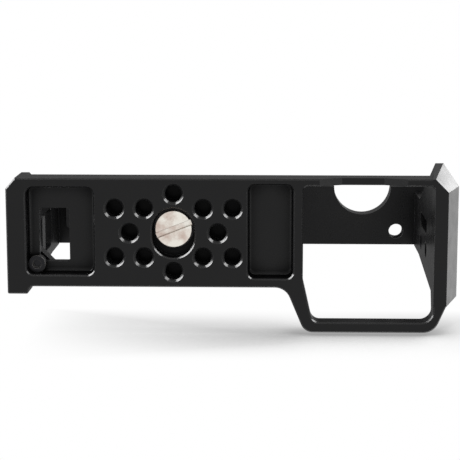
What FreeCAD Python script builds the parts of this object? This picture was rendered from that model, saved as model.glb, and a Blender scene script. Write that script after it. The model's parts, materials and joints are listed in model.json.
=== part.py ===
import FreeCAD, Part

import math
import os

from FreeCAD import Vector

# Camera cage, in millimetres. +X is the photographer's right, +Y is forward, +Z is up.
# The origin is the centre of the hole grid on the bottom face.

# Base plate
PLATE_DEPTH = 33.5
PLATE_THICK = 9.0
PLATE_BEVEL = 0.4

# Walls: the left wall stands on the plate, the right wall flares out of the grip loop
LEFT_OUTER = -51.0
LEFT_THICK = 5.3
LEFT_FOOT_FRONT = 19.1
LEFT_CORNER_X = 2.8
LEFT_CORNER_Y = 3.25
LEFT_FOOT_LEDGE = 1.0
LEFT_FOOT_ROUND = 1.8
LEFT_TIP_ROUND = 0.5
RIGHT_INNER = 80.5
RIGHT_THICK = 7.5
RIGHT_FOOT_REAR = -20.0
RIGHT_FOOT_FRONT = 22.0
RIGHT_CORNER_X = 5.0
RIGHT_CORNER_Y = 7.2
WALL_TOP_REAR = -2.0
WALL_TOP_FRONT = 17.0

# Heights
FLARE_HEIGHT = 14.0
LAP = 10.0
INNER_HEIGHT = 67.5
TOP_THICK = 7.0
SLOPE_SPAN = 46.0

# Grip loop, seen from above
LOOP_BAR = 4.0
LOOP_OPENING_LEFT = 39.5
LOOP_OPENING_WIDTH = 39.8
LOOP_REAR_BAR = 2.15
LOOP_FRONT = 30.7
LOOP_FRONT_BAR = 3.2
LOOP_FRONT_HEIGHT = 6.0
LOOP_LEFT_START = 34.25
LOOP_LEAN_LEFT = 5.85
LOOP_OPENING_LEAN = 3.0
LOOP_LEAN_RIGHT = 3.65
LOOP_SIDE_STRAIGHT = 22.4
LOOP_SIDE_ROUND = 2.0
LOOP_RIGHT_ROUND = 5.0
LOOP_LEFT_ROUND = 4.0
LOOP_NECK_ROUND = 5.0
OPENING_REAR_ROUND = 1.5
OPENING_RIGHT_ROUND = 3.6
OPENING_LEFT_ROUND = 3.0
OPENING_SLANT_ROUND = 5.0
OPENING_SLANT_INSET = 2.0
GRIP_RELIEF_INSET = 1.0
GRIP_RELIEF_RUN = 7.0
FLARE_INSET = 1.0
SCOOP_FROM = 44.3
SCOOP_TO = 71.0
SCOOP_RAMP = 7.0
SCOOP_DEPTH = 3.0

# Pockets in the bottom face
POCKET_DEPTH = 6.0
POCKET_CORNER = 2.2
POCKET_FLOOR_FILLET = 1.2
MOUTH_BEVEL = 0.4
POCKET_LEFT_RIM = 6.0
POCKET_LEFT_SIZE = (20.7, 27.0)
POCKET_LEFT_REAR_RIM = 2.85
POCKET_RIGHT_FROM = 22.7
POCKET_RIGHT_SIZE = (13.8, 28.9)
POCKET_RIGHT_REAR_RIM = 1.85
WINDOW_SIZE = (9.3, 16.7)
WINDOW_OFFSET = (3.3, 7.1)
WINDOW_CORNER = 0.8

# Quarter inch holes
QUARTER_BORE = 2.6
QUARTER_MOUTH = 3.25
GRID_HOLE_DEPTH = 7.0
GRID_INNER = (9.0, 7.5)
GRID_OUTER = (18.0, 7.5)
GRID_SIDE = 13.5
GRID_END = 12.0

# Camera screw and its slot
HEAD_RADIUS = 5.8
HEAD_THICK = 1.9
SCREW_MAJOR = 3.1
SCREW_NECK = 2.5
SCREW_GROOVE = 2.1
HEAD_BEVEL = 0.3
THREAD_LEAD = 0.6
WASHER_PLAY = 0.15
COIN_SLOT_WIDTH = 1.8
COIN_SLOT_DEPTH = 1.1
COIN_SLOT_TURN = 21.5
SCREW_REACH = 4.6
SCREW_REST = -1.0
SLIDE_BACK = 0.2
SLIDE_FORWARD = 2.2
SLOT_WIDTH = 13.0
SLOT_WEB = 1.6
SLOT_RECESS = 2.8
WASHER_THICK = 0.75
CLIP_THICK = 0.7
CLIP_RADIUS = 4.7
CLIP_MOUTH = 3.6
CLIP_FLOAT = 1.7

# Clearances
RUNNING_GAP = 0.05
MOVING_GAP = 0.3
FIXED_GAP = 0.02

# How far a cutting shape runs past the face that it cuts
OVERCUT = 1.0

# Fasteners
FLAT_HEAD = 2.7
FLAT_HEAD_THICK = 1.5
FLAT_SHANK = 1.45
HEX_SOCKET = 1.0
HEX_DEPTH = 1.1
CAP_SOCKET = 1.45
CAP_SOCKET_DEPTH = 1.6
PIN_RADIUS = 1.0
PIN_SPREAD = 2.6
LEFT_LOWER_SCREWS = (-5.0, 14.0)
RIGHT_LOWER_SCREWS = (-5.0, 16.0)
UPPER_SCREWS = (6.2, 13.4)
CAP_HEAD = 2.7
CAP_HEAD_THICK = 2.6
CLAMP_HOLE = 1.25
CLAMP_HOLE_PITCH = 8.5
CLAMP_HOLE_REAR = -9.7

# Corner stop
STOP_HEIGHT = 5.0
STOP_REACH = 13.5
STOP_CORNER = 1.0
STOP_SCREW_INSET = 3.4
STOP_SCREW_BACK = 6.35
STOP_SCREW_COVER = 1.0

# Side plates
PORT_SIZE = (13.0, 16.0)
PORT_BELOW_SEAM = 8.0
SIDE_CORNER = 3.0
SIDE_CENTRE_Y = 7.5
SIDE_HOLE_PITCH = 14.0
SIDE_HOLE_RISE = 6.0
STRAP_SLOT = (4.5, 20.0)
STRAP_SLOT_ROUND = 2.0
STRAP_SLOT_Y = 1.5
GRIP_HOLE_PITCH = 16.0
GRIP_HOLES_AHEAD = 10.0

# Top plate
TOP_REAR = -4.0
TOP_FRONT = 16.75
TOP_CORNER = 3.0
TOP_BEVEL = 0.5
SHOE_NOTCH = (26.0, 11.0)
SHOE_NOTCH_CENTRE = 1.0
DIAL_RADIUS = 10.0
DIAL_FROM_RIGHT = 26.0
TOP_ROW_Y = 12.0
TOP_ROW_PITCH = 9.0
THREE_EIGHTHS_BORE = 3.95
THREE_EIGHTHS_MOUTH = 4.9
THREE_EIGHTHS_X = 29.0
TOP_RECT = (16.0, 11.0)
TOP_END_FROM_RIGHT = 14.0

# Cold shoe
SHOE_FROM_LEFT = 22.0
SHOE_WIDTH = 22.4
SHOE_CORNER = 1.0
SHOE_LENGTH = 19.0
SHOE_SEAT = 1.6
SHOE_FOOT_WIDTH = 18.7
SHOE_FOOT_THICK = 2.1
SHOE_MOUTH = 12.6
SHOE_LIP = 1.3
SHOE_CENTRE_Y = 6.4
SHOE_SCREW_PITCH = 8.0
SHOE_SCREW_LENGTH = 6.0
SHOE_STOP_RADIUS = 1.1
SHOE_STOP_INSET = 1.6
SHOE_STOP_ROOT = 3.0
SHOE_PLAY = 0.15

# Pads
PAD_THICK = 0.6
PAD_CORNER = 1.5
BASE_PAD_SIZE = (7.0, 26.0)
BASE_PAD_X = 27.5
WALL_PAD_SIZE = (13.0, 6.0)
TOP_PAD_SIZE = (26.0, 10.0)
TOP_PAD_FROM_LEFT = 21.0
WALL_PAD_RISE = 1.0

# Values that follow from the sizes above
PLATE_FRONT = PLATE_DEPTH / 2
PLATE_REAR = -PLATE_DEPTH / 2
LEFT_INNER = LEFT_OUTER + LEFT_THICK
RIGHT_OUTER = RIGHT_INNER + RIGHT_THICK
TOP_UNDER = PLATE_THICK + INNER_HEIGHT
TOP_Z = TOP_UNDER + TOP_THICK
LOWER_SEAM = FLARE_HEIGHT
UPPER_SEAM = TOP_UNDER - LAP
LOOP_OPENING_RIGHT = LOOP_OPENING_LEFT + LOOP_OPENING_WIDTH
LOOP_OUTER = LOOP_OPENING_RIGHT + LOOP_BAR
SLOPE_TOP = FLARE_HEIGHT + SLOPE_SPAN
HEAD_SEAT_Z = PLATE_THICK - SLOT_RECESS - SLOT_WEB
WASHER_LOW = HEAD_SEAT_Z - RUNNING_GAP - WASHER_THICK
HEAD_TOP = WASHER_LOW - RUNNING_GAP
SLOT_WEB_TOP = PLATE_THICK - SLOT_RECESS
CLIP_LOW = SLOT_WEB_TOP + CLIP_FLOAT + RUNNING_GAP
THREAD_START = CLIP_LOW + CLIP_THICK + RUNNING_GAP
SLIDE_TRAVEL = SLIDE_BACK + SLIDE_FORWARD
SLOT_CENTRE_Y = SCREW_REST + (SLIDE_FORWARD - SLIDE_BACK) / 2
POCKET_LEFT_X = LEFT_OUTER + POCKET_LEFT_RIM
POCKET_LEFT_Y = PLATE_REAR + POCKET_LEFT_REAR_RIM
STOP_SCREW_X = LEFT_INNER + STOP_SCREW_INSET
STOP_SCREW_Y = PLATE_FRONT - STOP_SCREW_BACK
SHOE_CENTRE_X = LEFT_OUTER + SHOE_FROM_LEFT
TOP_PAD_X = LEFT_OUTER + TOP_PAD_FROM_LEFT
DIAL_CENTRE = RIGHT_OUTER - DIAL_FROM_RIGHT
TOP_END_X = RIGHT_OUTER - TOP_END_FROM_RIGHT
TOP_RECT_Y = TOP_ROW_Y - TOP_RECT[1] / 2
LAP_MIDDLE = {"lower": LOWER_SEAM + LAP / 2, "upper": UPPER_SEAM + LAP / 2}
LAP_SCREWS = {
    ("left", "lower"): LEFT_LOWER_SCREWS,
    ("right", "lower"): RIGHT_LOWER_SCREWS,
    ("left", "upper"): UPPER_SCREWS,
    ("right", "upper"): UPPER_SCREWS,
}


def box(x0, x1, y0, y1, z0, z1):
    """A block between two corners."""
    return Part.makeBox(x1 - x0, y1 - y0, z1 - z0, Vector(x0, y0, z0))


def cylinder(radius, length, x=0.0, y=0.0, z=0.0):
    """An upright cylinder from z upwards."""
    return Part.makeCylinder(radius, length, Vector(x, y, z))


def aimed(shape, point, direction):
    """A shape built along +Z from the origin, turned along direction and moved to point."""
    copy = shape.copy()
    turn = FreeCAD.Rotation(Vector(0, 0, 1), Vector(*direction))
    copy.Placement = FreeCAD.Placement(Vector(*point), turn)
    return copy


def outline(corners):
    """A closed wire through (x, y, radius) corners, with an arc at each corner that has a radius."""
    count = len(corners)
    starts, ends, middles = [], [], []
    for index, (x, y, radius) in enumerate(corners):
        here = Vector(x, y, 0)
        back = Vector(*corners[index - 1][:2], 0) - here
        ahead = Vector(*corners[(index + 1) % count][:2], 0) - here
        back.normalize()
        ahead.normalize()
        if radius == 0:
            starts.append(here)
            ends.append(here)
            middles.append(None)
            continue
        half = back.getAngle(ahead) / 2
        reach = radius / math.tan(half)
        bisector = (back + ahead).normalize()
        centre = here + bisector * (radius / math.sin(half))
        starts.append(here + back * reach)
        ends.append(here + ahead * reach)
        middles.append(centre - bisector * radius)
    edges = []
    for index in range(count):
        if middles[index] is not None:
            edges.append(Part.Arc(starts[index], middles[index], ends[index]).toShape())
        following = (index + 1) % count
        if (starts[following] - ends[index]).Length > 1e-6:
            edges.append(Part.LineSegment(ends[index], starts[following]).toShape())
    return Part.Wire(edges)


def prism(corners, low, high):
    """A rounded outline raised from z = low to z = high."""
    face = Part.Face(outline(corners))
    face.translate(Vector(0, 0, low))
    return face.extrude(Vector(0, 0, high - low))


def rounded_box(x0, x1, y0, y1, z0, z1, radius):
    """A block with four rounded upright edges."""
    corners = [(x0, y0, radius), (x1, y0, radius), (x1, y1, radius), (x0, y1, radius)]
    return prism(corners, z0, z1)


def oblong(width, length, y, z0, z1):
    """An upright slot of full round ends, along Y, centred on x = 0 and the given y."""
    half = width / 2
    straight = (length - width) / 2
    middle = box(-half, half, y - straight, y + straight, z0, z1)
    rear = cylinder(half, z1 - z0, 0, y - straight, z0)
    front = cylinder(half, z1 - z0, 0, y + straight, z0)
    return middle.fuse([rear, front]).removeSplitter()


def beveled(solid, edges, size):
    """The solid with a small bevel on the given edges."""
    return solid.makeChamfer(size, edges)


def edges_at_height(solid, z):
    """The edges that lie flat at height z."""
    return [edge for edge in solid.Edges
            if abs(edge.BoundBox.ZMin - z) < 1e-6 and abs(edge.BoundBox.ZMax - z) < 1e-6]


def blind_thread(bore, mouth, depth):
    """A tapped hole with a countersunk mouth, cut along +Z from the face at the origin."""
    hole = cylinder(bore, depth)
    sink = Part.makeCone(mouth, bore, mouth - bore)
    outside = cylinder(mouth, OVERCUT, 0, 0, -OVERCUT)
    return hole.fuse([sink, outside])


def quarter_hole(depth=GRID_HOLE_DEPTH):
    """A quarter inch hole."""
    return blind_thread(QUARTER_BORE, QUARTER_MOUTH, depth)


# Walls

def blend(z, low_value, high_value):
    """A value that goes from the foot of a wall to its straight upper part."""
    share = min(max((z - FLARE_HEIGHT) / (SLOPE_TOP - FLARE_HEIGHT), 0.0), 1.0)
    return low_value + share * (high_value - low_value)


def left_section(z):
    """The left wall's corners at one height."""
    rear = blend(z, PLATE_REAR, WALL_TOP_REAR)
    front = blend(z, LEFT_FOOT_FRONT, WALL_TOP_FRONT)
    return [Vector(LEFT_INNER, rear, z), Vector(LEFT_OUTER + LEFT_CORNER_X, rear, z),
            Vector(LEFT_OUTER, rear + LEFT_CORNER_Y, z), Vector(LEFT_OUTER, front, z),
            Vector(LEFT_INNER, front, z)]


def right_section(z):
    """The right wall's corners at one height."""
    rear = blend(z, RIGHT_FOOT_REAR, WALL_TOP_REAR)
    front = blend(z, RIGHT_FOOT_FRONT, WALL_TOP_FRONT)
    return [Vector(RIGHT_INNER, rear, z), Vector(RIGHT_OUTER - RIGHT_CORNER_X, rear, z),
            Vector(RIGHT_OUTER, rear + RIGHT_CORNER_Y, z), Vector(RIGHT_OUTER, front, z),
            Vector(RIGHT_INNER, front, z)]


def section_of(side):
    """The function that gives the corners of a wall."""
    return left_section if side == "left" else right_section


def ruled(low_corners, high_corners):
    """A solid between two outlines with the same number of corners."""
    wires = [Part.makePolygon(corners + corners[:1]) for corners in (low_corners, high_corners)]
    return Part.makeLoft(wires, True, True)


def wall(section, low, high):
    """A wall between two heights, with a break where its slope ends."""
    levels = sorted({low, high} | {z for z in (FLARE_HEIGHT, SLOPE_TOP) if low < z < high})
    pieces = [ruled(section(levels[i]), section(levels[i + 1])) for i in range(len(levels) - 1)]
    solid = pieces[0]
    for piece in pieces[1:]:
        solid = solid.fuse(piece)
    return solid.removeSplitter() if len(pieces) > 1 else solid


def inner_half(side, low, high):
    """The space of the inner half of a wall between two heights."""
    rear = PLATE_REAR - PLATE_DEPTH
    front = PLATE_FRONT + PLATE_DEPTH
    if side == "left":
        return box(LEFT_INNER - LEFT_THICK / 2, LEFT_INNER + OVERCUT, rear, front, low, high)
    return box(RIGHT_INNER - OVERCUT, RIGHT_INNER + RIGHT_THICK / 2, rear, front, low, high)


def lap_tongue(side, low, high):
    """The inner half of a wall, which one piece of a lap joint has and the other leaves free."""
    return wall(section_of(side), low, high).common(inner_half(side, low, high))


# Fasteners of the lap joints

def flat_head_screw(length, gap=0.0):
    """A countersunk screw along +Z from its head face, or with a gap, the seat that it needs."""
    head = Part.makeCone(FLAT_HEAD + gap, FLAT_SHANK + gap, FLAT_HEAD_THICK)
    shank = cylinder(FLAT_SHANK + gap, length - FLAT_HEAD_THICK + gap, 0, 0, FLAT_HEAD_THICK)
    return head.fuse(shank)


def hex_socket(radius, depth):
    """A hexagonal hole along +Z."""
    angles = [math.pi * k / 3 for k in range(7)]
    points = [Vector(radius * math.cos(angle), radius * math.sin(angle), 0) for angle in angles]
    return Part.Face(Part.makePolygon(points)).extrude(Vector(0, 0, depth))


def lap_axis(side):
    """The outer face of a wall, the way into it and its thickness."""
    if side == "left":
        return LEFT_OUTER, (1, 0, 0), LEFT_THICK
    return RIGHT_OUTER, (-1, 0, 0), RIGHT_THICK


def lap_screws(side, level, gap=0.0):
    """The two screws of one lap joint, or the seats that they need."""
    face, inward, thick = lap_axis(side)
    screws = []
    for y in LAP_SCREWS[side, level]:
        screw = flat_head_screw(thick - MOVING_GAP, gap)
        if gap == 0.0:
            screw = screw.cut(hex_socket(HEX_SOCKET, HEX_DEPTH))
        screws.append(aimed(screw, (face, y, LAP_MIDDLE[level]), inward))
    return screws


def lap_pins(side, level, gap=0.0):
    """The two dowel pins of one lap joint, or the holes that they need."""
    face, inward, thick = lap_axis(side)
    length = thick - 2 * MOVING_GAP
    middle = sum(LAP_SCREWS[side, level]) / 2
    pins = []
    for shift in (-PIN_SPREAD, PIN_SPREAD):
        pin = cylinder(PIN_RADIUS + gap, length + 2 * gap, 0, 0, MOVING_GAP - gap)
        pins.append(aimed(pin, (face, middle, LAP_MIDDLE[level] + shift), inward))
    return pins


def lap_seats(side, level):
    """Everything that is cut for the fasteners of one lap joint."""
    return lap_screws(side, level, FIXED_GAP) + lap_pins(side, level, FIXED_GAP)


# Base plate

def base_corners():
    """The base plate and grip loop seen from above, as one outline."""
    foot_inner = LEFT_INNER + LEFT_FOOT_LEDGE
    return [
        (LEFT_OUTER, PLATE_REAR + LEFT_CORNER_Y, 0),
        (LEFT_OUTER + LEFT_CORNER_X, PLATE_REAR, 0),
        (LOOP_OPENING_RIGHT, PLATE_REAR, 0),
        (LOOP_OUTER, PLATE_REAR + LOOP_BAR, 0),
        (LOOP_OUTER, LOOP_SIDE_STRAIGHT, LOOP_SIDE_ROUND),
        (LOOP_OUTER - LOOP_LEAN_RIGHT, LOOP_FRONT, LOOP_RIGHT_ROUND),
        (LOOP_LEFT_START + LOOP_LEAN_LEFT, LOOP_FRONT, LOOP_LEFT_ROUND),
        (LOOP_LEFT_START, PLATE_FRONT, LOOP_NECK_ROUND),
        (foot_inner, PLATE_FRONT, LEFT_FOOT_ROUND),
        (foot_inner, LEFT_FOOT_FRONT, LEFT_TIP_ROUND),
        (LEFT_OUTER, LEFT_FOOT_FRONT, LEFT_TIP_ROUND),
    ]


def loop_opening():
    """The opening of the grip loop."""
    slant_from = PLATE_FRONT - OPENING_SLANT_INSET
    inner_front = LOOP_FRONT - LOOP_FRONT_BAR
    corners = [
        (LOOP_OPENING_LEFT, PLATE_REAR + LOOP_REAR_BAR, OPENING_REAR_ROUND),
        (LOOP_OPENING_RIGHT, PLATE_REAR + LOOP_REAR_BAR, OPENING_REAR_ROUND),
        (LOOP_OPENING_RIGHT, inner_front, OPENING_RIGHT_ROUND),
        (LOOP_OPENING_LEFT + LOOP_OPENING_LEAN, inner_front, OPENING_LEFT_ROUND),
        (LOOP_OPENING_LEFT, slant_from, OPENING_SLANT_ROUND),
    ]
    return prism(corners, -OVERCUT, PLATE_THICK + OVERCUT)


def grip_relief():
    """What is cut from the top of the loop's front bar."""
    start = PLATE_FRONT + GRIP_RELIEF_INSET
    left = LOOP_LEFT_START - LOOP_NECK_ROUND
    profile = [
        (start, PLATE_THICK + OVERCUT),
        (start, PLATE_THICK),
        (start + GRIP_RELIEF_RUN, LOOP_FRONT_HEIGHT),
        (LOOP_FRONT + OVERCUT, LOOP_FRONT_HEIGHT),
        (LOOP_FRONT + OVERCUT, PLATE_THICK + OVERCUT),
    ]
    points = [Vector(left, y, z) for y, z in profile]
    face = Part.Face(Part.makePolygon(points + points[:1]))
    return face.extrude(Vector(LOOP_OUTER + OVERCUT - left, 0, 0))


def rear_scoop():
    """The shallow scoop under the rear bar of the loop."""
    profile = [
        (SCOOP_FROM, 0),
        (SCOOP_FROM + SCOOP_RAMP, SCOOP_DEPTH),
        (SCOOP_TO - SCOOP_RAMP, SCOOP_DEPTH),
        (SCOOP_TO, 0),
        (SCOOP_TO, -OVERCUT),
        (SCOOP_FROM, -OVERCUT),
    ]
    points = [Vector(x, PLATE_REAR - OVERCUT, z) for x, z in profile]
    face = Part.Face(Part.makePolygon(points + points[:1]))
    return face.extrude(Vector(0, LOOP_REAR_BAR + 2 * OVERCUT, 0))


def flare():
    """The foot of the right wall, which leans out of the grip loop."""
    foot = [
        (LOOP_OPENING_RIGHT - FLARE_INSET, PLATE_REAR),
        (LOOP_OPENING_RIGHT, PLATE_REAR),
        (LOOP_OUTER, PLATE_REAR + LOOP_BAR),
        (LOOP_OUTER, LOOP_SIDE_STRAIGHT),
        (LOOP_OPENING_RIGHT, LOOP_SIDE_STRAIGHT),
        (LOOP_OPENING_RIGHT, PLATE_REAR + LOOP_REAR_BAR),
    ]
    low = [Vector(x, y, 0) for x, y in foot]
    top = right_section(FLARE_HEIGHT)
    high = top + [Vector(RIGHT_INNER, RIGHT_FOOT_REAR + LOOP_REAR_BAR, FLARE_HEIGHT)]
    return ruled(low, high)


def beveled_mouth(x0, x1, y0, y1, radius):
    """The space that bevels the mouth of a rounded opening in the bottom face."""
    wires = []
    for z, grow in ((-MOUTH_BEVEL, 2 * MOUTH_BEVEL), (MOUTH_BEVEL, 0)):
        round_corner = radius + grow
        wire = outline([
            (x0 - grow, y0 - grow, round_corner),
            (x1 + grow, y0 - grow, round_corner),
            (x1 + grow, y1 + grow, round_corner),
            (x0 - grow, y1 + grow, round_corner),
        ])
        wire.translate(Vector(0, 0, z))
        wires.append(wire)
    return Part.makeLoft(wires, True, True)


def pocket(x0, y0, size):
    """A pocket with a rounded floor edge and a beveled mouth, cut from below."""
    x1 = x0 + size[0]
    y1 = y0 + size[1]
    solid = rounded_box(x0, x1, y0, y1, -OVERCUT, POCKET_DEPTH, POCKET_CORNER)
    solid = solid.makeFillet(POCKET_FLOOR_FILLET, edges_at_height(solid, POCKET_DEPTH))
    return solid.fuse(beveled_mouth(x0, x1, y0, y1, POCKET_CORNER))


def grid_places():
    """The places of the twelve holes around the camera screw."""
    places = [(sx * GRID_INNER[0], sy * GRID_INNER[1]) for sx in (-1, 1) for sy in (-1, 1)]
    places += [(sx * GRID_OUTER[0], sy * GRID_OUTER[1]) for sx in (-1, 1) for sy in (-1, 1)]
    places += [(-GRID_SIDE, 0), (GRID_SIDE, 0), (0, -GRID_END), (0, GRID_END)]
    return places


def screw_slot():
    """The stepped slot that the camera screw slides in."""
    top = PLATE_THICK + OVERCUT
    length = SLOT_WIDTH + SLIDE_TRAVEL
    half = SLOT_WIDTH / 2
    lower = oblong(SLOT_WIDTH, length, SLOT_CENTRE_Y, -OVERCUT, HEAD_SEAT_Z)
    mouth = beveled_mouth(-half, half, SLOT_CENTRE_Y - length / 2, SLOT_CENTRE_Y + length / 2, half)
    through_width = 2 * (SCREW_MAJOR + MOVING_GAP)
    through = oblong(through_width, through_width + SLIDE_TRAVEL, SLOT_CENTRE_Y, 0, top)
    recess_width = 2 * (CLIP_RADIUS + MOVING_GAP)
    recess = oblong(recess_width, recess_width + SLIDE_TRAVEL, SLOT_CENTRE_Y, SLOT_WEB_TOP, top)
    return [lower, mouth, through, recess]


def stop_screw(gap=0.0):
    """The socket head screw of the corner stop, or the holes that it needs."""
    head_low = POCKET_DEPTH - CAP_HEAD_THICK
    shank_length = PLATE_THICK - POCKET_DEPTH + STOP_HEIGHT - STOP_SCREW_COVER
    head = cylinder(CAP_HEAD + gap, CAP_HEAD_THICK, 0, 0, head_low)
    shank = cylinder(FLAT_SHANK + gap, shank_length + gap, 0, 0, POCKET_DEPTH)
    screw = head.fuse(shank)
    if gap == 0.0:
        socket = hex_socket(CAP_SOCKET, CAP_SOCKET_DEPTH)
        screw = screw.cut(aimed(socket, (0, 0, head_low), (0, 0, 1)))
    screw.translate(Vector(STOP_SCREW_X, STOP_SCREW_Y, 0))
    return screw


def base_plate():
    """The bottom plate with its grip loop and the feet of both walls."""
    slab = prism(base_corners(), 0, PLATE_THICK)
    slab = slab.cut(loop_opening())
    slab = beveled(slab, edges_at_height(slab, 0), PLATE_BEVEL)
    slab = slab.cut(grip_relief())
    foot = wall(left_section, PLATE_THICK - PLATE_BEVEL, LOWER_SEAM)
    tongues = [lap_tongue(side, LOWER_SEAM, LOWER_SEAM + LAP) for side in ("left", "right")]
    plate = slab.fuse([foot, flare()] + tongues)
    window_x = POCKET_LEFT_X + WINDOW_OFFSET[0]
    window_y = POCKET_LEFT_Y + WINDOW_OFFSET[1]
    cuts = [
        rear_scoop(),
        pocket(POCKET_LEFT_X, POCKET_LEFT_Y, POCKET_LEFT_SIZE),
        pocket(POCKET_RIGHT_FROM, PLATE_REAR + POCKET_RIGHT_REAR_RIM, POCKET_RIGHT_SIZE),
        rounded_box(window_x, window_x + WINDOW_SIZE[0], window_y, window_y + WINDOW_SIZE[1],
                    0, PLATE_THICK + OVERCUT, WINDOW_CORNER),
        stop_screw(FIXED_GAP),
    ]
    cuts += screw_slot()
    for x, y in grid_places():
        cuts.append(aimed(quarter_hole(), (x, y, 0), (0, 0, 1)))
    for y in (CLAMP_HOLE_REAR, CLAMP_HOLE_REAR + CLAMP_HOLE_PITCH):
        hole = cylinder(CLAMP_HOLE, POCKET_LEFT_RIM + 2 * OVERCUT)
        cuts.append(aimed(hole, (LEFT_OUTER - OVERCUT, y, POCKET_DEPTH / 2), (1, 0, 0)))
    cuts += lap_seats("left", "lower") + lap_seats("right", "lower")
    return plate.cut(cuts).removeSplitter()


# Side plates

def side_plate(side):
    """A wall between its two seams, with the inner halves of both laps left free."""
    plate = wall(section_of(side), LOWER_SEAM, TOP_UNDER)
    plate = plate.cut(inner_half(side, LOWER_SEAM - OVERCUT, LOWER_SEAM + LAP))
    plate = plate.cut(inner_half(side, UPPER_SEAM, TOP_UNDER + OVERCUT))
    return plate.cut(lap_seats(side, "lower") + lap_seats(side, "upper"))


def cross_hole(x, y, z, inward, thick):
    """A quarter inch hole right through a wall."""
    return aimed(quarter_hole(thick + OVERCUT), (x, y, z), inward)


def wall_window(face_x, y0, y1, z0, z1, radius, thick):
    """A rounded window right through a wall whose lower face along X is face_x."""
    window = rounded_box(y0, y1, z0, z1, -OVERCUT, thick + OVERCUT, radius)
    turn = FreeCAD.Rotation(Vector(0, 1, 0), Vector(0, 0, 1), Vector(1, 0, 0), "XYZ")
    window.Placement = FreeCAD.Placement(Vector(face_x, 0, 0), turn)
    return window


def left_side_plate():
    """The left wall, with a port window over two accessory holes."""
    window_top = UPPER_SEAM - PORT_BELOW_SEAM
    window = wall_window(LEFT_OUTER, SIDE_CENTRE_Y - PORT_SIZE[0] / 2, SIDE_CENTRE_Y + PORT_SIZE[0] / 2,
                         window_top - PORT_SIZE[1], window_top, SIDE_CORNER, LEFT_THICK)
    hole_z = LOWER_SEAM + LAP + SIDE_HOLE_RISE
    holes = [cross_hole(LEFT_OUTER, SIDE_CENTRE_Y + shift, hole_z, (1, 0, 0), LEFT_THICK)
             for shift in (-SIDE_HOLE_PITCH / 2, SIDE_HOLE_PITCH / 2)]
    return side_plate("left").cut([window] + holes)


def right_side_plate():
    """The right wall, with a strap slot and two accessory holes."""
    middle = (LOWER_SEAM + UPPER_SEAM + LAP) / 2
    half = STRAP_SLOT[1] / 2
    slot = wall_window(RIGHT_INNER, STRAP_SLOT_Y, STRAP_SLOT_Y + STRAP_SLOT[0],
                       middle - half, middle + half, STRAP_SLOT_ROUND, RIGHT_THICK)
    holes = [cross_hole(RIGHT_OUTER, STRAP_SLOT_Y + GRIP_HOLES_AHEAD, middle + shift, (-1, 0, 0), RIGHT_THICK)
             for shift in (-GRIP_HOLE_PITCH / 2, GRIP_HOLE_PITCH / 2)]
    return side_plate("right").cut([slot] + holes)


# Top plate

def top_places():
    """The places of the quarter inch holes in the top plate."""
    places = [(SHOE_NOTCH_CENTRE + shift, TOP_ROW_Y) for shift in (-TOP_ROW_PITCH, 0, TOP_ROW_PITCH)]
    for sx in (-0.5, 0.5):
        for sy in (-0.5, 0.5):
            places.append((THREE_EIGHTHS_X + sx * TOP_RECT[0], TOP_RECT_Y + sy * TOP_RECT[1]))
    places.append((TOP_END_X, TOP_ROW_Y))
    return places


def shoe_notch():
    """The cut-out over the camera's own accessory shoe."""
    half = SHOE_NOTCH[0] / 2
    rear = TOP_REAR - SHOE_NOTCH[1]
    front = TOP_REAR + SHOE_NOTCH[1]
    return rounded_box(SHOE_NOTCH_CENTRE - half, SHOE_NOTCH_CENTRE + half, rear, front,
                       TOP_UNDER - OVERCUT, TOP_Z + OVERCUT, TOP_CORNER)


def dial_notch():
    """The round cut-out beside the camera's dial."""
    return cylinder(DIAL_RADIUS, TOP_THICK + 2 * OVERCUT, DIAL_CENTRE, TOP_REAR, TOP_UNDER - OVERCUT)


def top_plate():
    """The top bar with a down-stand at each end."""
    bar = rounded_box(LEFT_OUTER, RIGHT_OUTER, TOP_REAR, TOP_FRONT, TOP_UNDER, TOP_Z, TOP_CORNER)
    bar = bar.cut([shoe_notch(), dial_notch()])
    bar = beveled(bar, edges_at_height(bar, TOP_Z), TOP_BEVEL)
    tongues = [lap_tongue(side, UPPER_SEAM, TOP_UNDER) for side in ("left", "right")]
    through = TOP_THICK + OVERCUT
    cuts = [aimed(quarter_hole(through), (x, y, TOP_Z), (0, 0, -1)) for x, y in top_places()]
    large = blind_thread(THREE_EIGHTHS_BORE, THREE_EIGHTHS_MOUTH, through)
    cuts.append(aimed(large, (THREE_EIGHTHS_X, TOP_RECT_Y, TOP_Z), (0, 0, -1)))
    cuts += shoe_screws(FIXED_GAP) + [shoe_stop_pin(FIXED_GAP)]
    cuts += lap_seats("left", "upper") + lap_seats("right", "upper")
    return bar.fuse(tongues).cut(cuts).removeSplitter()


# Cold shoe

def shoe_screws(gap=0.0):
    """The two countersunk screws of the shoe, or their seats."""
    screws = []
    for shift in (-SHOE_SCREW_PITCH / 2, SHOE_SCREW_PITCH / 2):
        screw = flat_head_screw(SHOE_SCREW_LENGTH, gap)
        if gap == 0.0:
            screw = screw.cut(hex_socket(HEX_SOCKET, HEX_DEPTH))
        screws.append(aimed(screw, (SHOE_CENTRE_X, SHOE_CENTRE_Y + shift, TOP_Z + SHOE_SEAT), (0, 0, -1)))
    return screws


def shoe_stop_pin(gap=0.0):
    """The pin that stops a foot at the front end of the shoe, or its hole."""
    y = SHOE_CENTRE_Y + SHOE_LENGTH / 2 - SHOE_STOP_INSET
    height = SHOE_STOP_ROOT + SHOE_SEAT + SHOE_FOOT_THICK
    return cylinder(SHOE_STOP_RADIUS + gap, height + gap, SHOE_CENTRE_X, y, TOP_Z - SHOE_STOP_ROOT - gap)


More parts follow.
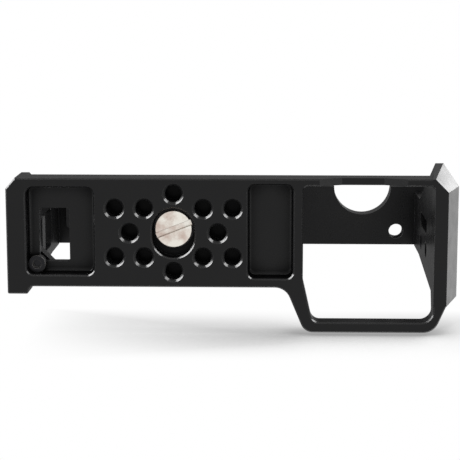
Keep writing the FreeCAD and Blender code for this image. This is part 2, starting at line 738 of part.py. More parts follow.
def cold_shoe():
    """The accessory shoe: a seat with two lipped rails."""
    half = SHOE_WIDTH / 2
    y0 = SHOE_CENTRE_Y - SHOE_LENGTH / 2
    y1 = SHOE_CENTRE_Y + SHOE_LENGTH / 2
    channel = SHOE_FOOT_THICK + SHOE_PLAY
    height = SHOE_SEAT + channel + SHOE_LIP
    body = rounded_box(SHOE_CENTRE_X - half, SHOE_CENTRE_X + half, y0, y1, TOP_Z, TOP_Z + height, SHOE_CORNER)
    body = beveled(body, edges_at_height(body, TOP_Z + height), TOP_BEVEL)
    foot = SHOE_FOOT_WIDTH / 2 + SHOE_PLAY
    mouth = SHOE_MOUTH / 2
    seat = TOP_Z + SHOE_SEAT
    cuts = [
        box(SHOE_CENTRE_X - foot, SHOE_CENTRE_X + foot, y0 - OVERCUT, y1 + OVERCUT, seat, seat + channel),
        box(SHOE_CENTRE_X - mouth, SHOE_CENTRE_X + mouth, y0 - OVERCUT, y1 + OVERCUT, seat, seat + height),
        shoe_stop_pin(FIXED_GAP),
    ]
    return body.cut(cuts + shoe_screws(FIXED_GAP))


# Corner stop and pads

def corner_stop():
    """The block that keeps the camera from turning on its screw."""
    corners = [
        (LEFT_INNER, PLATE_FRONT - STOP_REACH, 0),
        (LEFT_INNER + STOP_REACH, PLATE_FRONT, 0),
        (LEFT_INNER, PLATE_FRONT, 0),
    ]
    block = prism(corners, PLATE_THICK, PLATE_THICK + STOP_HEIGHT)
    block = block.common(box(LEFT_INNER, LEFT_INNER + STOP_REACH - STOP_CORNER,
                             PLATE_FRONT - STOP_REACH + STOP_CORNER, PLATE_FRONT,
                             PLATE_THICK, PLATE_THICK + STOP_HEIGHT))
    return block.cut(stop_screw(FIXED_GAP))


def base_pad(side):
    """A rubber strip on the base plate, beside the camera screw."""
    x = side * BASE_PAD_X
    half_x = BASE_PAD_SIZE[0] / 2
    half_y = BASE_PAD_SIZE[1] / 2
    top = PLATE_THICK + PAD_THICK
    return rounded_box(x - half_x, x + half_x, -half_y, half_y, PLATE_THICK, top, PAD_CORNER)


def left_wall_pad():
    """A rubber strip on the left wall, between the holes and the window."""
    low = LOWER_SEAM + LAP + SIDE_HOLE_RISE + QUARTER_MOUTH + WALL_PAD_RISE
    high = low + WALL_PAD_SIZE[1]
    half = WALL_PAD_SIZE[0] / 2
    pad = rounded_box(SIDE_CENTRE_Y - half, SIDE_CENTRE_Y + half, low, high, 0, PAD_THICK, PAD_CORNER)
    turn = FreeCAD.Rotation(Vector(0, 1, 0), Vector(0, 0, 1), Vector(1, 0, 0), "XYZ")
    pad.Placement = FreeCAD.Placement(Vector(LEFT_INNER, 0, 0), turn)
    return pad


def top_pad():
    """A rubber strip under the top plate."""
    half_x = TOP_PAD_SIZE[0] / 2
    half_y = TOP_PAD_SIZE[1] / 2
    return rounded_box(TOP_PAD_X - half_x, TOP_PAD_X + half_x, SHOE_CENTRE_Y - half_y, SHOE_CENTRE_Y + half_y,
                       TOP_UNDER - PAD_THICK, TOP_UNDER, PAD_CORNER)


# Moving pieces

def slot_washer():
    """The steel washer between the screw head and the plate."""
    washer = cylinder(SLOT_WIDTH / 2 - MOVING_GAP, WASHER_THICK, 0, SCREW_REST, WASHER_LOW)
    bore = cylinder(SCREW_MAJOR + WASHER_PLAY, WASHER_THICK, 0, SCREW_REST, WASHER_LOW)
    return washer.cut(bore)


def retaining_clip():
    """The open spring ring in the groove of the screw."""
    ring = cylinder(CLIP_RADIUS, CLIP_THICK, 0, SCREW_REST, CLIP_LOW)
    bore = cylinder(SCREW_GROOVE + RUNNING_GAP, CLIP_THICK, 0, SCREW_REST, CLIP_LOW)
    half = CLIP_MOUTH / 2
    top = CLIP_LOW + CLIP_THICK
    mouth = box(0, CLIP_RADIUS + OVERCUT, SCREW_REST - half, SCREW_REST + half, CLIP_LOW, top)
    return ring.cut([bore, mouth])


def camera_screw():
    """The quarter inch screw with a slotted head, a neck with a groove and a short thread."""
    head = cylinder(HEAD_RADIUS, HEAD_THICK, 0, 0, HEAD_TOP - HEAD_THICK)
    head = beveled(head, edges_at_height(head, HEAD_TOP - HEAD_THICK), HEAD_BEVEL)
    neck = cylinder(SCREW_NECK, CLIP_LOW - RUNNING_GAP - HEAD_TOP, 0, 0, HEAD_TOP)
    groove = cylinder(SCREW_GROOVE, CLIP_THICK + 2 * RUNNING_GAP, 0, 0, CLIP_LOW - RUNNING_GAP)
    thread = cylinder(SCREW_MAJOR, PLATE_THICK + SCREW_REACH - THREAD_START, 0, 0, THREAD_START)
    thread = beveled(thread, edges_at_height(thread, PLATE_THICK + SCREW_REACH), THREAD_LEAD)
    reach = HEAD_RADIUS + OVERCUT
    half = COIN_SLOT_WIDTH / 2
    low = HEAD_TOP - HEAD_THICK
    coin_slot = box(-reach, reach, -half, half, low - OVERCUT, low + COIN_SLOT_DEPTH)
    coin_slot.rotate(Vector(0, 0, 0), Vector(0, 0, 1), -COIN_SLOT_TURN)
    screw = head.fuse([neck, groove, thread]).cut(coin_slot)
    screw.translate(Vector(0, SCREW_REST, 0))
    return screw


def group(solids):
    """Separate solids that share one file."""
    return Part.makeCompound(solids)


NODES = {
    "base_plate": base_plate,
    "left_side_plate": left_side_plate,
    "right_side_plate": right_side_plate,
    "top_plate": top_plate,
    "cold_shoe": cold_shoe,
    "cold_shoe_screws": lambda: group(shoe_screws()),
    "shoe_stop_pin": shoe_stop_pin,
    "left_lower_screws": lambda: group(lap_screws("left", "lower")),
    "left_upper_screws": lambda: group(lap_screws("left", "upper")),
    "right_lower_screws": lambda: group(lap_screws("right", "lower")),
    "right_upper_screws": lambda: group(lap_screws("right", "upper")),
    "left_lower_pins": lambda: group(lap_pins("left", "lower")),
    "left_upper_pins": lambda: group(lap_pins("left", "upper")),
    "right_lower_pins": lambda: group(lap_pins("right", "lower")),
    "right_upper_pins": lambda: group(lap_pins("right", "upper")),
    "corner_stop": corner_stop,
    "corner_stop_screw": stop_screw,
    "base_pad_left": lambda: base_pad(-1),
    "base_pad_right": lambda: base_pad(1),
    "left_wall_pad": left_wall_pad,
    "top_pad": top_pad,
    "slot_washer": slot_washer,
    "retaining_clip": retaining_clip,
    "camera_screw": camera_screw,
}


def main():
    """Build every piece and write it to its own file."""
    os.makedirs("parts", exist_ok=True)
    for name, build in NODES.items():
        shape = build()
        shape.exportStep("parts/" + name + ".step")
        state = "valid" if shape.isValid() else "NOT VALID"
        print(name, len(shape.Solids), "solids", round(shape.Volume, 1), "mm3", state)


main()
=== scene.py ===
import json
import math

import bmesh
import bpy
from mathutils import Matrix, Vector

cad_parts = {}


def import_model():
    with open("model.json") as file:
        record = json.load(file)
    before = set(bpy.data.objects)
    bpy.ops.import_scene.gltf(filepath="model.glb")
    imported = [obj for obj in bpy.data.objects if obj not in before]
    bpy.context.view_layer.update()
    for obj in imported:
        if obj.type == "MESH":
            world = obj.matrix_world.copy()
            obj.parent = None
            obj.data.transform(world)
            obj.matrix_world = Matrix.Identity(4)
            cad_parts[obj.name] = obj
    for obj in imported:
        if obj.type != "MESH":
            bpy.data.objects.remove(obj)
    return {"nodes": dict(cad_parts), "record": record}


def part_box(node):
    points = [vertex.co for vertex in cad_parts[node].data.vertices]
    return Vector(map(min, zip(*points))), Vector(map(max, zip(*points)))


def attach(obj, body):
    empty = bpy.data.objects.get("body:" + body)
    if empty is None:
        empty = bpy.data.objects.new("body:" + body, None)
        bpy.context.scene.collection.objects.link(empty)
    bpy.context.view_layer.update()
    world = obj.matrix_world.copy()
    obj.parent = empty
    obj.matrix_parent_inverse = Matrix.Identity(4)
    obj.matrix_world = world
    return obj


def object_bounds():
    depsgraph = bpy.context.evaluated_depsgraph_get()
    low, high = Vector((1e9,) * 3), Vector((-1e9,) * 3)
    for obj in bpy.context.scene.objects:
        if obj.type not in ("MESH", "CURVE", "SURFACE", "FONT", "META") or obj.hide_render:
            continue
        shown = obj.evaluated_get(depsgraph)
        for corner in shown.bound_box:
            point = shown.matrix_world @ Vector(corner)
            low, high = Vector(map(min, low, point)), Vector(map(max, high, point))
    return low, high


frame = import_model()
CAD_BOX = [list(corner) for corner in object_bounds()]

# Sizes are in metres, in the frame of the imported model
MM = 0.001

# Camera: the viewing angle of the photograph, from below and a little behind
CAMERA_PLACE = Vector((29.5, -77.2, -450.0)) * MM
CAMERA_AIM = Vector((17.3, -1.1, 0.0)) * MM
CAMERA_UP = Vector((0.0, -1.0, 0.0))
CAMERA_LENS = 117.7
CAMERA_SENSOR = 36.0
CAMERA_NEAR = 10.0 * MM

# Floor under the cage, and the table that the loop rests on in the photograph's view
FLOOR_SIZE = 2.4
FLOOR_DROP = 0.3 * MM
TABLE_GAP = 0.5 * MM
TABLE_WIDTH = 1.2
TABLE_IN_FRONT = 0.6
TABLE_BEHIND = 0.12

# Shadows: how near the object darkens the ground, how dark it gets, and the openness over which it fades
SHADOW_REACH = 45.0 * MM
FLOOR_DARKEST = 0.35
TABLE_DARKEST = 0.15
SHADOW_OPENNESS = (0.6, 0.97)
SHADOW_SAMPLES = 16

# Stretches over which the table's shadow fades, along Z, along X, and as it is seen more edge on
FADE_BEHIND = (-10.0 * MM, 34.0 * MM)
FADE_IN_FRONT = (-34.0 * MM, -8.0 * MM)
FADE_LEFT = (-45.0 * MM, 45.0 * MM)
FADE_RIGHT = (70.0 * MM, 100.0 * MM)
FADE_EDGE_ON = (0.84, 0.93)

# Studio, where 1 is white: below, level with the cage, higher up all around, and a dark card straight above
BELOW_LEVEL = 0.8
BAND_LEVEL = 0.17
AROUND_LEVEL = 1.2
CARD_LEVEL = 0.06

# Heights, as sines of the elevation, and places to the right over which these levels meet
BELOW_TO_BAND = (-0.65, -0.30)
BAND_TO_AROUND = (0.12, 0.40)
CARD_EDGE = (0.74, 0.88)
CARD_RIGHT_END = (0.25, 0.42)

# Lamps: direction from the middle of the cage, width and height in metres, and power in watts
MIDDLE = Vector((18.0, 5.0, 8.0)) * MM
LAMP_DISTANCE = 0.75
LAMPS = {
    "key_left": ((-0.80, -0.60, -0.09), (0.80, 0.20), 3.3),
    "fill_right": ((0.74, -0.67, -0.10), (0.40, 0.20), 1.1),
    "rim_right": ((0.564, -0.318, 0.762), (0.30, 0.30), 1.1),
    "below_left": ((-0.72, 0.0, -0.69), (0.20, 0.20), 0.3),
    "below_right": ((0.72, 0.0, -0.69), (0.20, 0.20), 0.3),
}

# Ranges shared by the finishes: of noise, of openness, of a 45 degree face and of a rounded edge
NOISE_RANGE = (0.3, 0.7)
OPENNESS_RANGE = (0.35, 0.8)
CHAMFER_RANGE = (0.04, 0.10)
EDGE_RANGE = (0.75, 0.99)
CHAMFER_TILT = math.cos(math.radians(45.0))
MOST_WORN = 0.9
FINISH_SAMPLES = 6

# The scale of a noise is in grains for each metre, and a pair for a bump is its strength and its height

# Black anodised aluminium
ANODISED_DARK = (0.0036, 0.0036, 0.0040)
ANODISED_LIGHT = (0.0060, 0.0060, 0.0064)
ANODISED_EDGE = (0.085, 0.085, 0.088)
ANODISED_EDGE_ROUND = 0.22 * MM
ANODISED_LEAST_WORN = 0.2
ANODISED_WEAR_SCALE = 700.0
ANODISED_CLOUD_SCALE = 60.0
ANODISED_ROUGHNESS = (0.25, 0.31)
ANODISED_SMEAR_SCALE = 250.0
ANODISED_IOR = 1.33
# Specular level deep in holes and on open faces: painted shade that dims the reflection within
# ANODISED_SHADE of the walls
ANODISED_SHINE = (0.12, 0.5)
ANODISED_SHADE = 6.0 * MM
ANODISED_GRAIN_SCALE = 6000.0
ANODISED_GRAIN = (0.04, 0.02 * MM)
CHAMFER_IOR = 2.0
CHAMFER_ROUGHNESS = 0.20

# Black oxide steel
OXIDE_DARK = (0.02, 0.02, 0.022)
OXIDE_EDGE = (0.55, 0.53, 0.50)
OXIDE_EDGE_ROUND = 0.30 * MM
OXIDE_LEAST_WORN = 0.3
OXIDE_WEAR_SCALE = 900.0
OXIDE_ROUGHNESS = (0.18, 0.30)
OXIDE_SMEAR_SCALE = 800.0
OXIDE_METALLIC = 0.85
OXIDE_GRAIN_SCALE = 5000.0
OXIDE_GRAIN = (0.15, 0.01 * MM)

# Bright ground steel, with its lines along X
GROUND_DARK = (0.5, 0.49, 0.47)
GROUND_LIGHT = (0.66, 0.65, 0.62)
GROUND_EDGE_ROUND = 0.08 * MM
GROUND_CLOUD_SCALE = 500.0
GROUND_ROUGHNESS = (0.22, 0.36)
GROUND_SMEAR_SCALE = 1500.0
GROUND_LINE_STRETCH = (1.0, 12.0, 12.0)
GROUND_LINE_SCALE = 900.0
GROUND_LINES = (0.2, 0.01 * MM)

# Turned and plated steel
TURNED_WARM = (0.69, 0.56, 0.49)
TURNED_PALE = (1.0, 0.96, 0.88)
# Dark brown of the painted shade laid deep in the screw's grooves
TURNED_GROOVE_SHADE = (0.16, 0.12, 0.10)
TURNED_EDGE_ROUND = 0.15 * MM
TURNED_SHADE = 0.6 * MM
TURNED_PATCH_SCALE = 210.0
TURNED_PATCH_DETAIL = 4.0
TURNED_PATCH_ROUGH = 0.6
TURNED_PATCH_RANGE = (0.36, 0.60)
TURNED_ROUGHNESS = (0.26, 0.38)
TURNED_SMEAR_SCALE = 1200.0
TURNED_RING_SCALE = 900.0
TURNED_RING_DISTORTION = 1.5
TURNED_RINGS = (0.22, 0.01 * MM)

# Rubber
RUBBER_DARK = (0.014, 0.014, 0.015)
RUBBER_LIGHT = (0.03, 0.03, 0.031)
RUBBER_CLOUD_SCALE = 300.0
RUBBER_ROUGHNESS = (0.72, 0.88)
RUBBER_SMEAR_SCALE = 1200.0
RUBBER_PEBBLE_SCALE = 3500.0
RUBBER_PEBBLE = (0.5, 0.04 * MM)

# Detail of the noise under a bump and of the rings, and of all other noise
FINE_DETAIL = 2.0
NOISE_DETAIL = 3.0
NOISE_ROUGH = 0.5

# Threads
QUARTER_BORE = 2.6 * MM
QUARTER_PITCH = 1.27 * MM
THREE_EIGHTHS_BORE = 3.95 * MM
THREE_EIGHTHS_PITCH = 1.5875 * MM
SCREW_RADIUS = 3.1 * MM
SCREW_THREAD_RUN = 3.6 * MM
SCREW_LEAD = 0.6 * MM
RIDGE_HEIGHT = 0.16 * MM
RIDGE_SINK = 0.02 * MM
RIDGE_HALF_FOOT = 0.34
RIDGE_HALF_CREST = 0.1
THREAD_STEPS = 28
RUN_OUT_STEPS = 6.0

# Depth of each pattern of quarter inch holes, whose stated place is at the foot of the countersink
MOUTH_DEPTH = 0.7 * MM
TIP_GAP = 0.1 * MM
BASE_DEPTH = 7.0 * MM
LEFT_WALL = 5.3 * MM
RIGHT_WALL = 7.5 * MM
TOP_PLATE = 7.0 * MM
HOLE_DEPTHS = {
    "grid_outer": BASE_DEPTH,
    "grid_inner": BASE_DEPTH,
    "grid_side": BASE_DEPTH,
    "grid_end": BASE_DEPTH,
    "left_holes": LEFT_WALL,
    "grip_holes": RIGHT_WALL,
    "top_row": TOP_PLATE,
    "top_corner_holes": TOP_PLATE,
}

# Bore and pitch of the single holes through the top plate, whose stated place is halfway down the thread
THROUGH_ENDS = 0.75 * MM
THROUGH_HOLES = {
    "top_row_middle": (QUARTER_BORE, QUARTER_PITCH),
    "top_end": (QUARTER_BORE, QUARTER_PITCH),
    "top_three_eighths": (THREE_EIGHTHS_BORE, THREE_EIGHTHS_PITCH),
}


# Small helpers for node trees

def new_material(name):
    """A material with a principled shader, and its tree and shader."""
    material = bpy.data.materials.new(name)
    material.use_nodes = True
    tree = material.node_tree
    tree.nodes.clear()
    shader = tree.nodes.new("ShaderNodeBsdfPrincipled")
    output = tree.nodes.new("ShaderNodeOutputMaterial")
    tree.links.new(shader.outputs["BSDF"], output.inputs["Surface"])
    return material, tree, shader


def object_place(tree):
    """The place on the piece, in metres, which moves with the piece."""
    return tree.nodes.new("ShaderNodeTexCoord").outputs["Object"]


def noise(tree, place, scale, detail=NOISE_DETAIL, rough=NOISE_ROUGH):
    """A noise value whose grains are about 1 / scale metres wide."""
    node = tree.nodes.new("ShaderNodeTexNoise")
    node.inputs["Scale"].default_value = scale
    node.inputs["Detail"].default_value = detail
    node.inputs["Roughness"].default_value = rough
    tree.links.new(place, node.inputs["Vector"])
    return node.outputs["Fac"]


def stretched(tree, place, factors):
    """The place with each axis multiplied, which draws a texture out along the small ones."""
    node = tree.nodes.new("ShaderNodeMapping")
    node.inputs["Scale"].default_value = factors
    tree.links.new(place, node.inputs["Vector"])
    return node.outputs["Vector"]


def spread(tree, value, low, high, from_low=NOISE_RANGE[0], from_high=NOISE_RANGE[1]):
    """The value mapped to the range low to high, and kept within it."""
    node = tree.nodes.new("ShaderNodeMapRange")
    node.inputs["From Min"].default_value = from_low
    node.inputs["From Max"].default_value = from_high
    node.inputs["To Min"].default_value = low
    node.inputs["To Max"].default_value = high
    tree.links.new(value, node.inputs["Value"])
    return node.outputs["Result"]


def colour_between(tree, share, first, second):
    """A colour between two colours, each three numbers or a socket."""
    node = tree.nodes.new("ShaderNodeMix")
    node.data_type = "RGBA"
    for key, colour in (("A", first), ("B", second)):
        if isinstance(colour, tuple):
            node.inputs[key].default_value = (*colour, 1.0)
        else:
            tree.links.new(colour, node.inputs[key])
    tree.links.new(share, node.inputs["Factor"])
    return node.outputs["Result"]


def math_node(tree, kind, first, second):
    """One sum on two values, each a number or a socket."""
    node = tree.nodes.new("ShaderNodeMath")
    node.operation = kind
    for socket, value in zip(node.inputs, (first, second)):
        if isinstance(value, (int, float)):
            socket.default_value = value
        else:
            tree.links.new(value, socket)
    return node.outputs["Value"]


def soft_edges(tree, radius):
    """The normal with every edge rounded by radius."""
    node = tree.nodes.new("ShaderNodeBevel")
    node.samples = FINISH_SAMPLES
    node.inputs["Radius"].default_value = radius
    return node.outputs["Normal"]


def openness(tree, distance, low=0.0, high=1.0):
    """High on open faces and low deep in holes and grooves."""
    node = tree.nodes.new("ShaderNodeAmbientOcclusion")
    node.samples = FINISH_SAMPLES
    node.inputs["Distance"].default_value = distance
    return spread(tree, node.outputs["AO"], low, high, *OPENNESS_RANGE)


def chamfer_mask(tree):
    """One on faces that lean 45 degrees from the vertical, which are cut smoother than the rest."""
    split = tree.nodes.new("ShaderNodeSeparateXYZ")
    tree.links.new(tree.nodes.new("ShaderNodeTexCoord").outputs["Normal"], split.inputs[0])
    steep = math_node(tree, "ABSOLUTE", split.outputs["Z"], 0.0)
    off = math_node(tree, "ABSOLUTE", math_node(tree, "SUBTRACT", steep, CHAMFER_TILT), 0.0)
    return spread(tree, off, 1.0, 0.0, *CHAMFER_RANGE)


def worn_edges(tree, place, rounded, scale, least):
    """High along the edges, with patches that are worn less, and zero on the faces."""
    true_normal = tree.nodes.new("ShaderNodeNewGeometry").outputs["True Normal"]
    dot = tree.nodes.new("ShaderNodeVectorMath")
    dot.operation = "DOT_PRODUCT"
    tree.links.new(rounded, dot.inputs[0])
    tree.links.new(true_normal, dot.inputs[1])
    edges = spread(tree, dot.outputs["Value"], 1.0, 0.0, *EDGE_RANGE)
    patches = spread(tree, noise(tree, place, scale), least, MOST_WORN)
    return math_node(tree, "MULTIPLY", edges, patches)


def smeared_roughness(tree, shader, place, scale, limits):
    """A roughness that wanders between two limits."""
    tree.links.new(spread(tree, noise(tree, place, scale), *limits), shader.inputs["Roughness"])


def bump(tree, shader, height, strength, distance, normal=None):
    """A bump on the shader's normal."""
    node = tree.nodes.new("ShaderNodeBump")
    node.inputs["Strength"].default_value = strength
    node.inputs["Distance"].default_value = distance
    tree.links.new(height, node.inputs["Height"])
    if normal is not None:
        tree.links.new(normal, node.inputs["Normal"])
    tree.links.new(node.outputs["Normal"], shader.inputs["Normal"])


# Materials of the object

def anodised():
    """Satin black anodised aluminium, bead blasted, paler along its edges, shinier on its bevels, and with
    painted shade that turns its reflection down deep in holes and grooves.
    """
    material, tree, shader = new_material("anodised_black")
    place = object_place(tree)
    rounded = soft_edges(tree, ANODISED_EDGE_ROUND)
    worn = worn_edges(tree, place, rounded, ANODISED_WEAR_SCALE, ANODISED_LEAST_WORN)
    clouds = noise(tree, place, ANODISED_CLOUD_SCALE)
    base = colour_between(tree, clouds, ANODISED_DARK, ANODISED_LIGHT)
    tree.links.new(colour_between(tree, worn, base, ANODISED_EDGE), shader.inputs["Base Color"])
    smeared_roughness(tree, shader, place, ANODISED_SMEAR_SCALE, ANODISED_ROUGHNESS)
    shader.inputs["IOR"].default_value = ANODISED_IOR
    # Painted shade: the reflection is turned down deep in holes and grooves, where shade falls
    tree.links.new(openness(tree, ANODISED_SHADE, *ANODISED_SHINE), shader.inputs["Specular IOR Level"])
    tree.links.new(chamfer_mask(tree), shader.inputs["Coat Weight"])
    shader.inputs["Coat IOR"].default_value = CHAMFER_IOR
    shader.inputs["Coat Roughness"].default_value = CHAMFER_ROUGHNESS
    bump(tree, shader, noise(tree, place, ANODISED_GRAIN_SCALE, FINE_DETAIL), *ANODISED_GRAIN, rounded)
    return material


def black_oxide():
    """Black oxide steel of the small screws and the washer, bright where its edges are worn."""
    material, tree, shader = new_material("black_oxide_steel")
    place = object_place(tree)
    rounded = soft_edges(tree, OXIDE_EDGE_ROUND)
    worn = worn_edges(tree, place, rounded, OXIDE_WEAR_SCALE, OXIDE_LEAST_WORN)
    tree.links.new(colour_between(tree, worn, OXIDE_DARK, OXIDE_EDGE), shader.inputs["Base Color"])
    smeared_roughness(tree, shader, place, OXIDE_SMEAR_SCALE, OXIDE_ROUGHNESS)
    shader.inputs["Metallic"].default_value = OXIDE_METALLIC
    bump(tree, shader, noise(tree, place, OXIDE_GRAIN_SCALE, FINE_DETAIL), *OXIDE_GRAIN, rounded)
    return material


def ground_steel():
    """Bright ground steel."""
    material, tree, shader = new_material("ground_steel")
    place = object_place(tree)
    rounded = soft_edges(tree, GROUND_EDGE_ROUND)
    clouds = noise(tree, place, GROUND_CLOUD_SCALE)
    tree.links.new(colour_between(tree, clouds, GROUND_DARK, GROUND_LIGHT), shader.inputs["Base Color"])
    smeared_roughness(tree, shader, place, GROUND_SMEAR_SCALE, GROUND_ROUGHNESS)
    shader.inputs["Metallic"].default_value = 1.0
    along = stretched(tree, place, GROUND_LINE_STRETCH)
    bump(tree, shader, noise(tree, along, GROUND_LINE_SCALE, FINE_DETAIL), *GROUND_LINES, rounded)
    return material


def turning_rings(tree, place, centre):
    """Fine rings about the axis that stands at centre."""
    from_axis = tree.nodes.new("ShaderNodeMapping")
    from_axis.inputs["Location"].default_value = (-centre[0], -centre[1], 0.0)
    tree.links.new(place, from_axis.inputs["Vector"])
    rings = tree.nodes.new("ShaderNodeTexWave")
    rings.wave_type = "RINGS"
    rings.rings_direction = "Z"
    rings.inputs["Scale"].default_value = TURNED_RING_SCALE
    rings.inputs["Distortion"].default_value = TURNED_RING_DISTORTION
    rings.inputs["Detail"].default_value = FINE_DETAIL
    tree.links.new(from_axis.outputs["Vector"], rings.inputs["Vector"])
    return rings.outputs["Fac"]


def turned_steel(centre):
    """Warm plated steel of the camera screw, with turning rings about its axis and painted shade, dark
    brown, deep in its grooves.
    """
    material, tree, shader = new_material("turned_plated_steel")
    place = object_place(tree)
    rounded = soft_edges(tree, TURNED_EDGE_ROUND)
    cloud = noise(tree, place, TURNED_PATCH_SCALE, TURNED_PATCH_DETAIL, TURNED_PATCH_ROUGH)
    patches = spread(tree, cloud, 0.0, 1.0, *TURNED_PATCH_RANGE)
    base = colour_between(tree, patches, TURNED_WARM, TURNED_PALE)
    # Painted shade: the colour turns dark brown deep in the grooves and the slot, within TURNED_SHADE of
    # their walls
    shaded_in_grooves = colour_between(tree, openness(tree, TURNED_SHADE), TURNED_GROOVE_SHADE, base)
    tree.links.new(shaded_in_grooves, shader.inputs["Base Color"])
    smeared_roughness(tree, shader, place, TURNED_SMEAR_SCALE, TURNED_ROUGHNESS)
    shader.inputs["Metallic"].default_value = 1.0
    bump(tree, shader, turning_rings(tree, place, centre), *TURNED_RINGS, rounded)
    return material


def rubber():
    """Matt black rubber with a fine pebble."""
    material, tree, shader = new_material("pad_rubber")
    place = object_place(tree)
    clouds = noise(tree, place, RUBBER_CLOUD_SCALE)
    tree.links.new(colour_between(tree, clouds, RUBBER_DARK, RUBBER_LIGHT), shader.inputs["Base Color"])
    smeared_roughness(tree, shader, place, RUBBER_SMEAR_SCALE, RUBBER_ROUGHNESS)
    bump(tree, shader, noise(tree, place, RUBBER_PEBBLE_SCALE), *RUBBER_PEBBLE)
    return material


# Pieces made here

def mesh_piece(name, build, material, body):
    """A piece from a function that fills a bmesh."""
    mesh = bpy.data.meshes.new(name)
    work = bmesh.new()
    build(work)
    bmesh.ops.recalc_face_normals(work, faces=work.faces)
    work.to_mesh(mesh)
    work.free()
    mesh.materials.append(material)
    piece = bpy.data.objects.new(name, mesh)
    bpy.context.scene.collection.objects.link(piece)
    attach(piece, body)
    return piece


def axis_frame(direction):
    """A rotation that turns +Z to the direction."""
    return Vector(direction).to_track_quat("Z", "Y").to_matrix().to_4x4()


def add_thread(work, mouth, direction, radius, depth, pitch, inward=True):
    """A helical ridge from mouth along direction, in a bore or, if not inward, on a shank."""
    turn = Matrix.Translation(mouth) @ axis_frame(direction)
    sign = -1.0 if inward else 1.0
    root = radius - sign * RIDGE_SINK
    crest = radius + sign * RIDGE_HEIGHT
    foot = pitch * RIDGE_HALF_FOOT
    top = foot * RIDGE_HALF_CREST
    steps = int(depth / pitch * THREAD_STEPS)
    rows = []
    for step in range(steps + 1):
        angle = 2.0 * math.pi * step / THREAD_STEPS
        height = foot + (depth - 2.0 * foot) * step / steps
        fade = min(1.0, step / RUN_OUT_STEPS, (steps - step) / RUN_OUT_STEPS)
        tip = root + (crest - root) * fade
        row = []
        for r, z in ((root, height - foot), (tip, height - top), (tip, height + top), (root, height + foot)):
            row.append(work.verts.new(turn @ Vector((r * math.cos(angle), r * math.sin(angle), z))))
        rows.append(row)
    for low, high in zip(rows, rows[1:]):
        for k in range(4):
            work.faces.new((low[k], low[(k + 1) % 4], high[(k + 1) % 4], high[k]))
    work.faces.new(rows[0])
    work.faces.new(rows[-1])


def mount(name):
    """One mount of the record."""
    return next(entry for entry in frame["record"]["mounts"] if entry["name"] == name)


def hole_places(name):
    """The places of a mount's holes, which are one, two in a row or four at the corners, and its axis."""
    entry = mount(name)
    axis = Vector(entry["axis"])
    across = [k for k in range(3) if abs(axis[k]) < 0.5]
    dims = entry["dims"]
    places = [Vector(entry["pos_m"])]
    for key, k in zip(("spacing_x_mm", "spacing_y_mm"), across):
        if key in dims:
            step = Vector((0.0, 0.0, 0.0))
            step[k] = dims[key] * MM / 2.0
            places = [place + sign * step for place in places for sign in (-1.0, 1.0)]
    return places, axis


def hole_threads(metal):
    """The threads of all the threaded holes for accessories."""
    def build(work):
        for name, depth in HOLE_DEPTHS.items():
            run = depth - MOUTH_DEPTH - TIP_GAP
            places, axis = hole_places(name)
            for place in places:
                add_thread(work, place, -axis, QUARTER_BORE, run, QUARTER_PITCH)
        for name, (bore, pitch) in THROUGH_HOLES.items():
            run = mount(name)["dims"]["length_mm"] * MM - THROUGH_ENDS
            places, axis = hole_places(name)
            for place in places:
                add_thread(work, place + axis * run / 2.0, -axis, bore, run, pitch)
    return mesh_piece("hole_threads", build, metal, "cage")


def screw_axis():
    """Where the axis of the camera screw stands, and the height of its tip."""
    low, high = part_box("camera_screw")
    return (low[0] + high[0]) / 2.0, (low[1] + high[1]) / 2.0, high[2]


def screw_thread(steel):
    """The thread on the tip of the camera screw."""
    x, y, tip = screw_axis()
    foot = Vector((x, y, tip - SCREW_LEAD - SCREW_THREAD_RUN))

    def build(work):
        add_thread(work, foot, (0, 0, 1), SCREW_RADIUS, SCREW_THREAD_RUN, QUARTER_PITCH, inward=False)
    return mesh_piece("camera_screw_thread", build, steel, "screw")


def dress():
    """Gives each node its finish and adds the pieces made here."""
    finishes = {
        "anodised": anodised(),
        "black_steel": black_oxide(),
        "bright_steel": ground_steel(),
        "camera_screw_steel": turned_steel(screw_axis()),
        "rubber": rubber(),
    }
    for entry in frame["record"]["subparts"]:
        node = frame["nodes"][entry["node"]]
        for index in range(len(node.data.materials)):
            node.data.materials[index] = finishes[entry["material_slot"]]
    hole_threads(finishes["anodised"])
    screw_thread(finishes["camera_screw_steel"])


# Stage, lights and camera

def plane(name, corners, material):
    """A flat four-sided stage piece, whose front is where its corners turn anticlockwise."""
    mesh = bpy.data.meshes.new(name)
    mesh.from_pydata(corners, [], [(0, 1, 2, 3)])
    mesh.materials.append(material)
    piece = bpy.data.objects.new(name, mesh)
    bpy.context.scene.collection.objects.link(piece)
    for ray in ("diffuse", "glossy", "transmission", "volume_scatter", "shadow"):
        setattr(piece, "visible_" + ray, False)


def shadow_catcher(name, darkest, fade=None):
    """A clear surface that darkens what is behind it where the object is near, seen from its front only."""
    material = bpy.data.materials.new(name)
    material.use_nodes = True
    tree = material.node_tree
    tree.nodes.clear()
    near = tree.nodes.new("ShaderNodeAmbientOcclusion")
    near.samples = SHADOW_SAMPLES
    near.inputs["Distance"].default_value = SHADOW_REACH
    strength = spread(tree, near.outputs["AO"], darkest, 1.0, *SHADOW_OPENNESS)
    if fade is not None:
        taken = math_node(tree, "SUBTRACT", 1.0, strength)
        kept = math_node(tree, "SUBTRACT", 1.0, fade(tree))
        strength = math_node(tree, "SUBTRACT", 1.0, math_node(tree, "MULTIPLY", taken, kept))
    side = tree.nodes.new("ShaderNodeNewGeometry")
    strength = math_node(tree, "MAXIMUM", strength, side.outputs["Backfacing"])
    clear = tree.nodes.new("ShaderNodeBsdfTransparent")
    output = tree.nodes.new("ShaderNodeOutputMaterial")
    tree.links.new(strength, clear.inputs["Color"])
    tree.links.new(clear.outputs[0], output.inputs["Surface"])
    return material


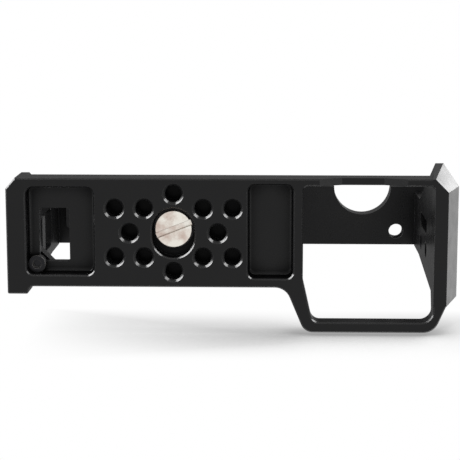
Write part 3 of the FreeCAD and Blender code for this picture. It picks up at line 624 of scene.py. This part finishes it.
def table_fade(tree):
    """One far from the bottom face, beyond the ends of the cage, and where the table is seen edge on."""
    split = tree.nodes.new("ShaderNodeSeparateXYZ")
    tree.links.new(object_place(tree), split.inputs[0])
    facing = tree.nodes.new("ShaderNodeLayerWeight").outputs["Facing"]
    fade = spread(tree, split.outputs["Z"], 0.0, 1.0, *FADE_BEHIND)
    for other in (
        spread(tree, split.outputs["Z"], 1.0, 0.0, *FADE_IN_FRONT),
        spread(tree, split.outputs["X"], 1.0, 0.0, *FADE_LEFT),
        spread(tree, split.outputs["X"], 0.0, 1.0, *FADE_RIGHT),
        spread(tree, facing, 0.0, 1.0, *FADE_EDGE_ON),
    ):
        fade = math_node(tree, "MAXIMUM", fade, other)
    return fade


def stage():
    """A clear floor under the cage and a clear table in front of it, which only show the object's shadow."""
    half = FLOOR_SIZE / 2.0
    low = -FLOOR_DROP
    floor = [(-half, -half, low), (half, -half, low), (half, half, low), (-half, half, low)]
    plane("stage_floor", floor, shadow_catcher("stage_floor_shadow", FLOOR_DARKEST))
    y = CAD_BOX[1][1] + TABLE_GAP
    wide = TABLE_WIDTH / 2.0
    near = -TABLE_IN_FRONT
    far = TABLE_BEHIND
    table = [(-wide, y, near), (wide, y, near), (wide, y, far), (-wide, y, far)]
    plane("stage_table", table, shadow_catcher("stage_table_shadow", TABLE_DARKEST, table_fade))


def area_light(name, direction, size, power):
    """A soft box that shines at the middle of the cage from a direction."""
    light = bpy.data.lights.new(name, "AREA")
    light.shape = "RECTANGLE"
    light.size = size[0]
    light.size_y = size[1]
    light.energy = power
    lamp = bpy.data.objects.new(name, light)
    bpy.context.scene.collection.objects.link(lamp)
    lamp.location = MIDDLE + Vector(direction).normalized() * LAMP_DISTANCE
    lamp.rotation_euler = (MIDDLE - lamp.location).to_track_quat("-Z", "Y").to_euler()
    lamp.visible_camera = False


def lights():
    """Two soft boxes level with the bottom face, one behind on the right, and two small ones below."""
    for name, (direction, size, power) in LAMPS.items():
        area_light(name, direction, size, power)


def world():
    """A white studio, dim level with the cage and straight above it, and pure white to the camera."""
    studio = bpy.data.worlds.new("studio")
    bpy.context.scene.world = studio
    studio.use_nodes = True
    tree = studio.node_tree
    tree.nodes.clear()
    split = tree.nodes.new("ShaderNodeSeparateXYZ")
    tree.links.new(tree.nodes.new("ShaderNodeTexCoord").outputs["Generated"], split.inputs[0])
    height = split.outputs["Z"]
    below = spread(tree, height, BELOW_LEVEL, BAND_LEVEL, *BELOW_TO_BAND)
    around = spread(tree, height, 0.0, AROUND_LEVEL, *BAND_TO_AROUND)
    over = spread(tree, height, 0.0, 1.0, *CARD_EDGE)
    not_right = spread(tree, split.outputs["X"], 1.0, 0.0, *CARD_RIGHT_END)
    card = spread(tree, math_node(tree, "MULTIPLY", over, not_right), 1.0, CARD_LEVEL, 0.0, 1.0)
    level = math_node(tree, "MAXIMUM", below, math_node(tree, "MULTIPLY", around, card))
    camera_ray = tree.nodes.new("ShaderNodeLightPath").outputs["Is Camera Ray"]
    background = tree.nodes.new("ShaderNodeBackground")
    background.inputs["Color"].default_value = (1.0, 1.0, 1.0, 1.0)
    output = tree.nodes.new("ShaderNodeOutputWorld")
    tree.links.new(math_node(tree, "MAXIMUM", level, camera_ray), background.inputs["Strength"])
    tree.links.new(background.outputs[0], output.inputs["Surface"])


def camera():
    """The camera at the photograph's viewing angle."""
    data = bpy.data.cameras.new("photo_view")
    data.sensor_width = CAMERA_SENSOR
    data.lens = CAMERA_LENS
    data.clip_start = CAMERA_NEAR
    eye = bpy.data.objects.new("photo_view", data)
    bpy.context.scene.collection.objects.link(eye)
    back = (CAMERA_PLACE - CAMERA_AIM).normalized()
    right = CAMERA_UP.cross(back).normalized()
    up = back.cross(right)
    turn = Matrix((right, up, back)).transposed().to_4x4()
    eye.matrix_world = Matrix.Translation(CAMERA_PLACE) @ turn
    bpy.context.scene.camera = eye


def main():
    """Builds the scene."""
    bpy.context.scene.view_settings.view_transform = "Standard"
    camera()
    stage()
    world()
    lights()
    dress()


main()
